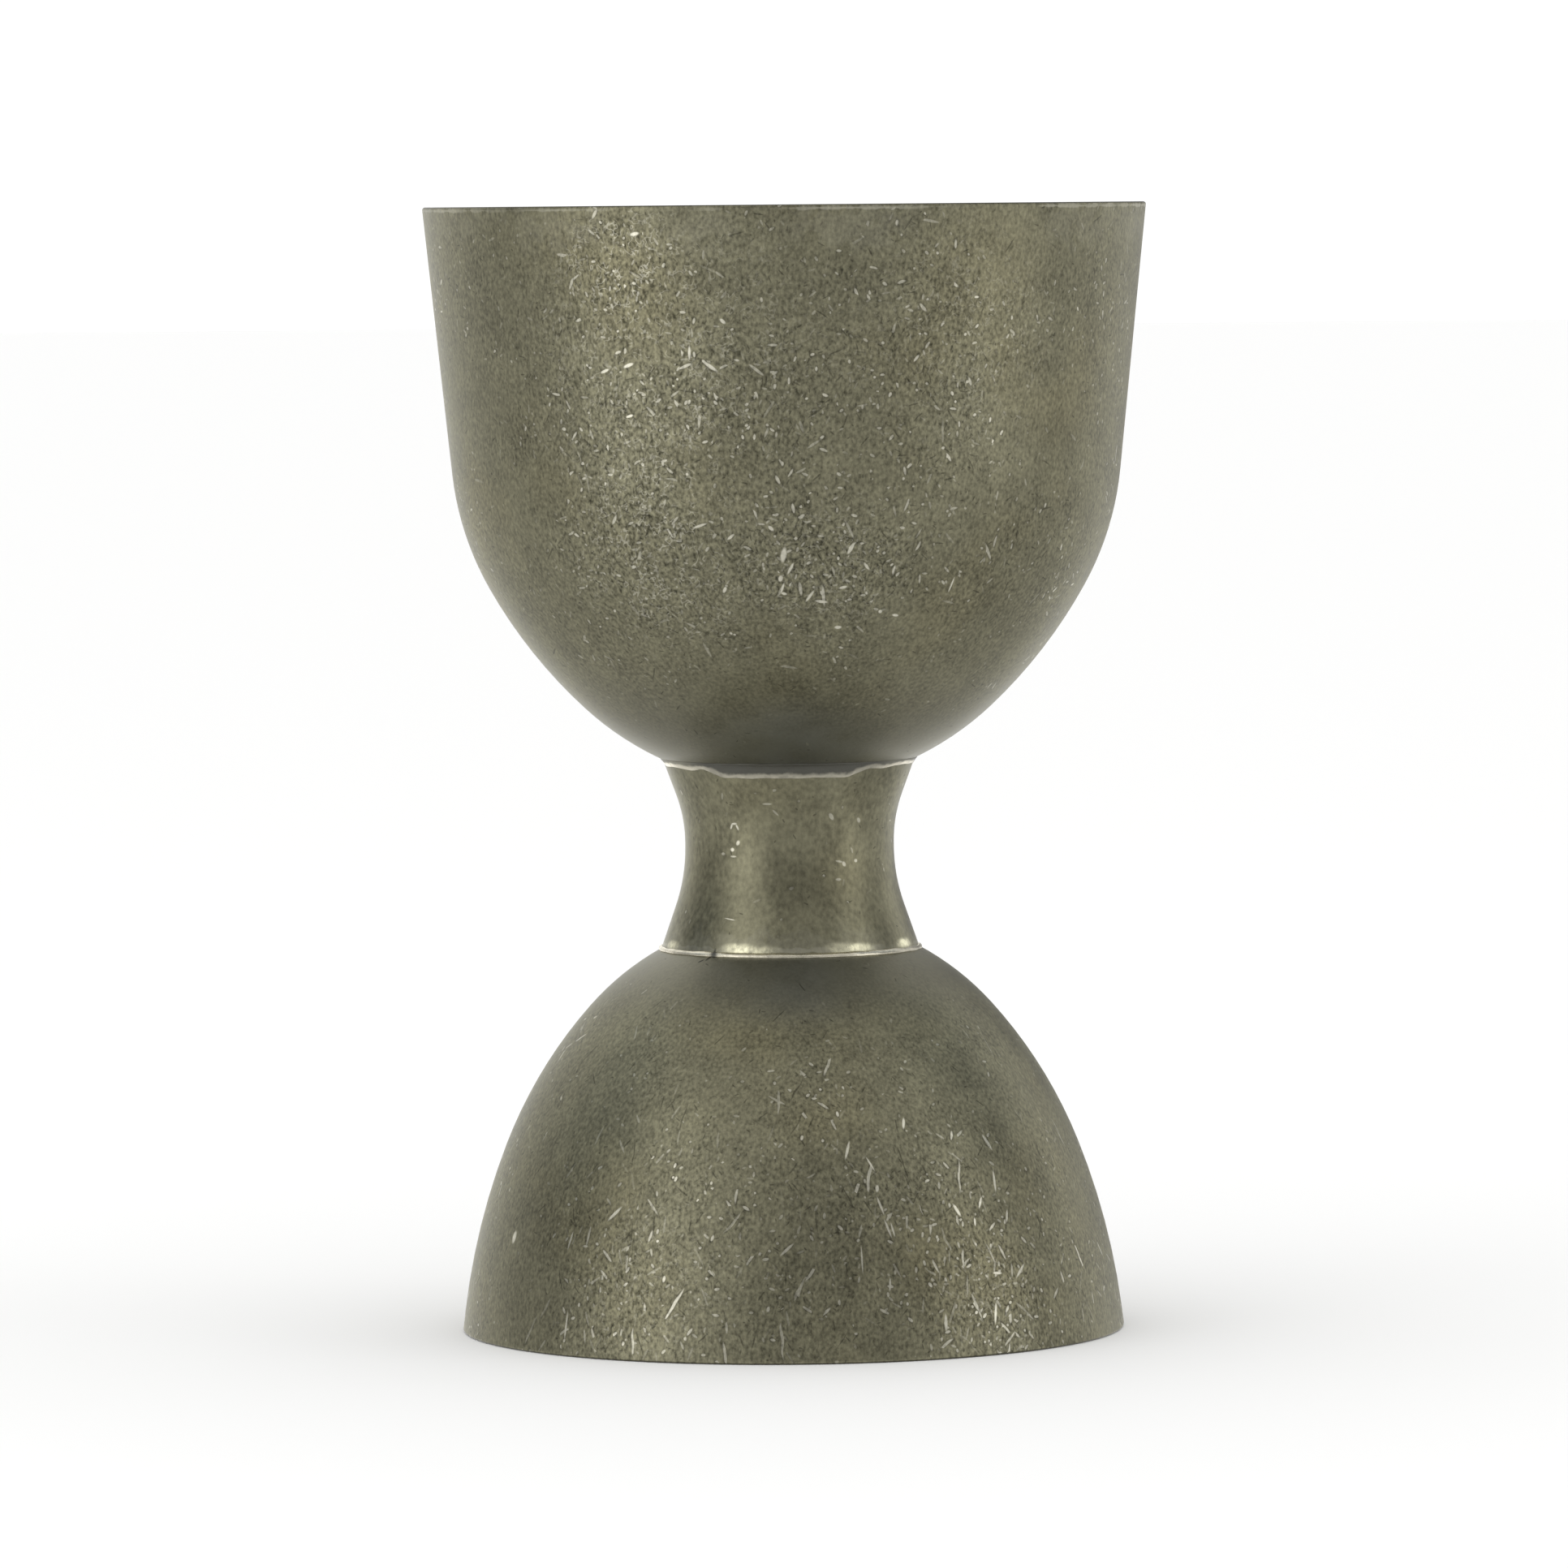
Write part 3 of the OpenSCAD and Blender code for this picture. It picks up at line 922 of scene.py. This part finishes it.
@dataclass
class Bead:
    """How a weld was run. Side is 1 at the neck's head and -1 at its foot, and the seed sets how its
    edges wander. Sags are azimuths, half widths in degrees and depths."""

    width: float
    crown: float
    side: int
    seed: int
    sags: tuple


UPPER_BEAD = Bead(
    width=0.42, crown=0.03, side=1, seed=4,
    sags=(
        (-2, 36, 0.68), (-2, 52, 0.2), (-66, 18, 0.22), (62, 18, 0.12), (110, 28, 0.3), (-150, 40, 0.45),
    ),
)
LOWER_BEAD = Bead(width=0.38, crown=0.13, side=-1, seed=9, sags=((0, 60, 0.06), (150, 30, 0.12)))
BEAD_BITE = 0.02
BEAD_WANDER = 0.3
BEAD_WAVES = 7
BEAD_STEPS = 24
DULL_WELD = (0.164, 0.162, 0.140, 1)
BRIGHT_WELD = (0.980, 0.920, 0.740, 1)
WELD_ROUGHNESS = 0.44
WELD_GRAIN_SIZE = 0.4
WELD_DRIFT_SIZE = 1.2


def sag_at(azimuth, sags):
    """How far a bead reaches onto the neck, beyond its usual width"""
    total = 0
    for middle, half_width, depth in sags:
        away = abs((azimuth - middle + 180) % 360 - 180) / half_width
        total += depth * min(1, max(0, (1.15 - away) / 0.3))
    return total


def weld_bead(name, bead, end, ball_r, flare, material):
    """A bead in the corner outside the neck's end. Flare is in degrees from upright. Each point keeps
    how far it is from the edge on the neck."""
    ball_slope = math.degrees(math.acos(end.x / ball_r))
    flank = math.tan(math.radians(ball_slope - flare) / 2)
    section = bmesh.new()
    bmesh.ops.create_circle(section, cap_ends=False, segments=BEAD_STEPS, radius=0.5)
    bmesh.ops.scale(section, vec=(bead.crown * 2, bead.width, 1), verts=section.verts)
    for vertex in section.verts:
        if vertex.co.x < bead.crown / 100:
            vertex.co.x = (abs(vertex.co.y) - bead.width / 2) * flank
    on_neck = section.verts.layers.float.new("on_neck")
    for vertex in section.verts:
        vertex[on_neck] = 0.5 - vertex.co.y / bead.width * bead.side
    upright = Matrix.Rotation(math.radians(90), 4, "X")
    out_of_corner = Matrix.Translation((bead.width / 2 * flank - BEAD_BITE, 0, 0))
    leaned = Matrix.Rotation(math.radians((ball_slope + flare) / 2) * bead.side, 4, "Y")
    bmesh.ops.transform(
        section, verts=section.verts,
        matrix=Matrix.Translation((end.x, 0, end.y)) @ leaned @ out_of_corner @ upright,
    )
    piece = turned_piece(name, section, material)
    share = piece.data.attributes["on_neck"].data
    from_edge = piece.data.attributes.new("from_edge", "FLOAT", "POINT").data
    along_flare = Vector((0, 0, -bead.side * math.cos(math.radians(flare))))
    for vertex in piece.data.vertices:
        azimuth = math.degrees(math.atan2(vertex.co.x, -vertex.co.y))
        outwards = Vector((vertex.co.x, vertex.co.y, 0)).normalized()
        corner = outwards * end.x / 1000 + Vector((0, 0, end.y / 1000))
        scale = 1 + BEAD_WANDER * noise.noise(outwards * BEAD_WAVES + Vector((0, 0, bead.seed)))
        vertex.co = corner + (vertex.co - corner) * scale
        sag = sag_at(azimuth, bead.sags) * max(0, share[vertex.index].value * 2 - 1)
        vertex.co += (along_flare - outwards * math.sin(math.radians(flare))) * sag / 1000
        reach = bead.width * scale + sag_at(azimuth, bead.sags)
        from_edge[vertex.index].value = (1 - share[vertex.index].value) * reach
    return piece


def blended_weld(name, line_width, softness, shine, spots):
    """Dull weld metal with a ragged bright line along its edge on the neck. Spots are places, reaches
    and how much more of it shines there; where a spot is positive, the dull weld is also painted paler,
    a painted light that lifts its shade."""
    material, place, _ = new_steel(name)
    from_edge = place.node("Attribute", output="Fac", attribute_name="from_edge")
    grain = place.noise(WELD_GRAIN_SIZE, 3)
    drift = place.noise(WELD_DRIFT_SIZE, 2)
    ragged = from_edge + (drift - 0.5) * 0.35 + (grain - 0.5) * 0.18
    line = ragged.step(line_width + softness, line_width - softness)
    spread = spread_from(place, spots)
    line = (line * (drift.step(0.3, 0.55) * 0.35 + grain * 0.6 + 0.35) * (spread + shine)).clamp()
    # Painted light: where a spot is positive the dull weld is painted paler.
    colour = line.mix(spread.mix(DULL_WELD, SEAM_LIGHT_STEEL), BRIGHT_WELD)
    rough = WELD_ROUGHNESS - line * 0.2 + (grain - 0.5) * 0.1
    lay_finish(material, colour, rough, grain * 0.02 + drift * 0.04)
    return material


head_corner = Vector((head_end.x, band_top_z + head_end.y))
upper_weld = weld_bead(
    "upper_weld_bead", UPPER_BEAD, head_corner, LARGE.ball_r(), HEAD_SLOPE,
    blended_weld(
        "upper weld", line_width=0.26, softness=0.11, shine=0.62,
        # Painted light: paler dull weld and a brighter line at the bead's sides and back
        spots=(
            (on_wall(head_corner.x, -66, head_corner.y), 4.4, 0.6),
            (on_wall(head_corner.x, 62, head_corner.y), 3.6, 0.35),
            (on_wall(head_corner.x, 160, head_corner.y), 4.0, 0.4),
        ),
    ),
)
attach(upper_weld, "root")
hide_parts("upper_weld")

foot_corner = Vector((foot_end.x, WAIST_Z - foot_end.y))
lower_weld = weld_bead(
    "lower_weld_bead", LOWER_BEAD, foot_corner, SMALL.ball_r(), FOOT_SLOPE,
    blended_weld(
        "lower weld", line_width=0.5, softness=0.12, shine=1.0,
        spots=(
            (on_wall(foot_corner.x, -35.5, foot_corner.y), 0.5, -1.2),
            (on_wall(foot_corner.x, 66, foot_corner.y), 4.0, -0.4),
        ),
    ),
)
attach(lower_weld, "root")
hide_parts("lower_weld")


# Studio: a plain pale floor, a white surround that is dimmer on the camera's side, and soft boxes to
# the left and right of the jigger.

FLOOR_R = 6.0
FLOOR_COLOUR = (0.93, 0.93, 0.925, 1)

floor_mesh = bmesh.new()
bmesh.ops.create_circle(floor_mesh, cap_ends=True, segments=64, radius=FLOOR_R)
floor_data = bpy.data.meshes.new("floor")
floor_mesh.to_mesh(floor_data)
floor_mesh.free()
floor_paint = bpy.data.materials.new("floor paint")
floor_paint.use_nodes = True
floor_shader = floor_paint.node_tree.nodes["Principled BSDF"]
floor_shader.inputs["Base Color"].default_value = FLOOR_COLOUR
floor_shader.inputs["Roughness"].default_value = 0.9
floor_shader.inputs["Specular IOR Level"].default_value = 0.1
floor_data.materials.append(floor_paint)
floor = bpy.data.objects.new("floor", floor_data)
floor.visible_glossy = False
floor.visible_shadow = False
bpy.context.scene.collection.objects.link(floor)

FLOOR_LIGHT = 1.08
SIDE_LIGHT = 0.594
CAMERA_SIDE_SHADE = 0.06
BACK_LIGHT = 0.26
LOW_BACK_SHADE = 0.15
BACK_STRIP_LIGHT = 0.65
COOL_CARD = (0.90, 0.98, 1.06, 1)
CARD_EDGE = (24, 6)

# The upward part of a ray's direction where a change in the light starts and ends, and the change
RISING_STEPS = ((-0.1, 0.25, -0.285), (0.35, 0.75, 0.3), (-0.3, -0.8, -0.053))

# Each card's azimuth and elevation, how much brighter it is than the surround, and how cool
CARDS = (
    (-104, 5, -0.15, 0), (-100, 32, -0.06, 1), (-134, 24, 0.12, 0), (-134, 44, 0.08, 0),
    (-158, 4, -0.32, 0), (-150, -32, -0.14, 0), (104, -30, -0.18, 0), (104, 40, -0.31, 1),
    (130, 22, 0.44, 0), (150, 32, -0.35, 0), (162, 6, -0.95, 0), (150, -34, -0.10, 0),
    (3, 15, -0.10, 0),
)

world = bpy.data.worlds.new("surround")
world.use_nodes = True
bpy.context.scene.world = world
backdrop = world.node_tree.nodes["Background"]
compass = Wire(world.node_tree.nodes.new("ShaderNodeTexCoord").outputs["Generated"])
rays = Wire(world.node_tree.nodes.new("ShaderNodeLightPath").outputs["Is Glossy Ray"])
towards_back = compass.vector("DOT_PRODUCT", (0, 1, 0), output="Value")
upwards = compass.vector("DOT_PRODUCT", (0, 0, 1), output="Value")
front = SIDE_LIGHT
for low, high, change in RISING_STEPS:
    front = upwards.step(low, high) * change + front
level_compass = compass.vector("MULTIPLY", (1, 1, 0)).vector("NORMALIZE")
towards_camera = level_compass.vector("DOT_PRODUCT", on_wall(1, 15, 0), output="Value")
front = front - towards_camera.step(0.5, 0.96) * CAMERA_SIDE_SHADE
behind = towards_back.step(0.3, 0.75) * (BACK_LIGHT - upwards.step(-0.1, -0.4) * LOW_BACK_SHADE)
seen_in_steel = front + behind + towards_back.step(0.7, 0.95) * BACK_STRIP_LIGHT
cool = 0
for azimuth, elevation, strength, coolness in CARDS:
    rise = math.radians(elevation)
    direction = on_wall(math.cos(rise), azimuth, math.sin(rise))
    nearness = compass.vector("DOT_PRODUCT", direction, output="Value")
    card = nearness.step(*(math.cos(math.radians(edge)) for edge in CARD_EDGE))
    seen_in_steel = seen_in_steel + card * strength
    cool = card * coolness + cool
level = FLOOR_LIGHT - rays * (FLOOR_LIGHT - seen_in_steel)
world.node_tree.links.new(level.socket, backdrop.inputs["Strength"])
tint = (cool * rays).mix((1, 1, 1, 1), COOL_CARD)
world.node_tree.links.new(tint.socket, backdrop.inputs["Color"])

BOX_SIZE = (0.3, 0.7)
BOX_DISTANCE = 0.7
BOX_RISE = math.radians(14)
JIGGER_MIDDLE = Vector((0, 0, 0.04))


def soft_box(name, azimuth, power):
    """A soft box that faces the middle of the jigger"""
    light = bpy.data.lights.new(name, "AREA")
    light.shape = "RECTANGLE"
    light.size, light.size_y = BOX_SIZE
    light.energy = power
    lamp = bpy.data.objects.new(name, light)
    away = on_wall(BOX_DISTANCE * math.cos(BOX_RISE), azimuth, BOX_DISTANCE * math.sin(BOX_RISE))
    lamp.location = JIGGER_MIDDLE + Vector(away)
    lamp.rotation_mode = "QUATERNION"
    lamp.rotation_quaternion = (JIGGER_MIDDLE - lamp.location).to_track_quat("-Z", "Y")
    bpy.context.scene.collection.objects.link(lamp)


soft_box("left soft box", -56, 0.36)
soft_box("left fill box", -40, 0.28)
soft_box("right soft box", 72, 0.37)
bpy.context.scene.view_settings.view_transform = "Standard"
bpy.context.scene.view_settings.look = "None"

# Camera: level with the large cup's rim and aimed at the middle of the jigger, at the photographed
# distance and framing. The jigger leans a little to the left in the frame, so the camera rolls.

CAMERA_DISTANCE = 0.7229
CAMERA_HEIGHT = 0.0824
AIM_HEIGHT = 0.0412
CAMERA_ROLL = -0.5
CAMERA_LENS = 226.76
SENSOR_W = 36
PHOTO_SIDE = 1932
AIM_PIXEL = (972, 945.35)

camera_data = bpy.data.cameras.new("camera")
camera_data.sensor_width = SENSOR_W
camera_data.lens = CAMERA_LENS
camera_data.clip_start = 0.01
camera_data.shift_x = (PHOTO_SIDE / 2 - AIM_PIXEL[0]) / PHOTO_SIDE
camera_data.shift_y = (AIM_PIXEL[1] - PHOTO_SIDE / 2) / PHOTO_SIDE
camera = bpy.data.objects.new("camera", camera_data)
camera.location = (0, -CAMERA_DISTANCE, CAMERA_HEIGHT)
camera.rotation_mode = "QUATERNION"
aim = Vector((0, 0, AIM_HEIGHT)) - camera.location
camera.rotation_quaternion = (
    aim.to_track_quat("-Z", "Y") @ Matrix.Rotation(math.radians(CAMERA_ROLL), 3, "Z").to_quaternion()
)
bpy.context.scene.collection.objects.link(camera)
bpy.context.scene.camera = camera
